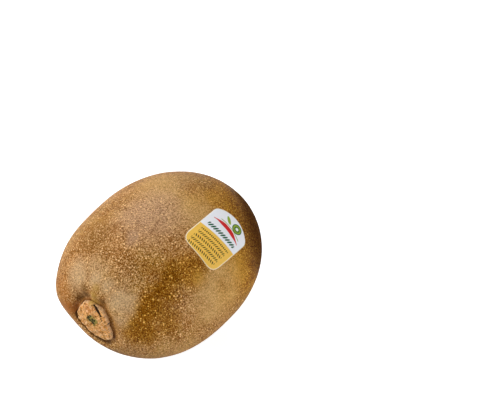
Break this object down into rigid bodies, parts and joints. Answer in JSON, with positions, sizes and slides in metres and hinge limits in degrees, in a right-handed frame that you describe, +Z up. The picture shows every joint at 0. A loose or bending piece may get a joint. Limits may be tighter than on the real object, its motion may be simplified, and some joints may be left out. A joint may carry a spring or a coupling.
{
  "type": "golden kiwi fruit",
  "caption": "Whole golden kiwi fruit lying on its side: smooth bronze skin, woody cap at the stem end, dry stub at the other, plain label on top.",
  "frame": {"origin": "middle of the whole part's footprint, on the surface that the fruit lies on", "axes": "+X along the fruit from its stem end to its blossom end, +Z up from the surface that it lies on"},
  "size_m": [0.0688, 0.0552, 0.046],
  "materials": {
    "skin": "bronze kiwi skin, soft sheen, fine pale dots",
    "dry_calyx": "dry, rough, cracked",
    "dry_style": "dry and dark",
    "label_paper": "thin printed film, satin"
  },
  "bodies": {
    "root": {"fruit": "skin", "calyx": "dry_calyx", "style_stub": "dry_style", "sticker": "label_paper"}
  },
  "joints": []
}
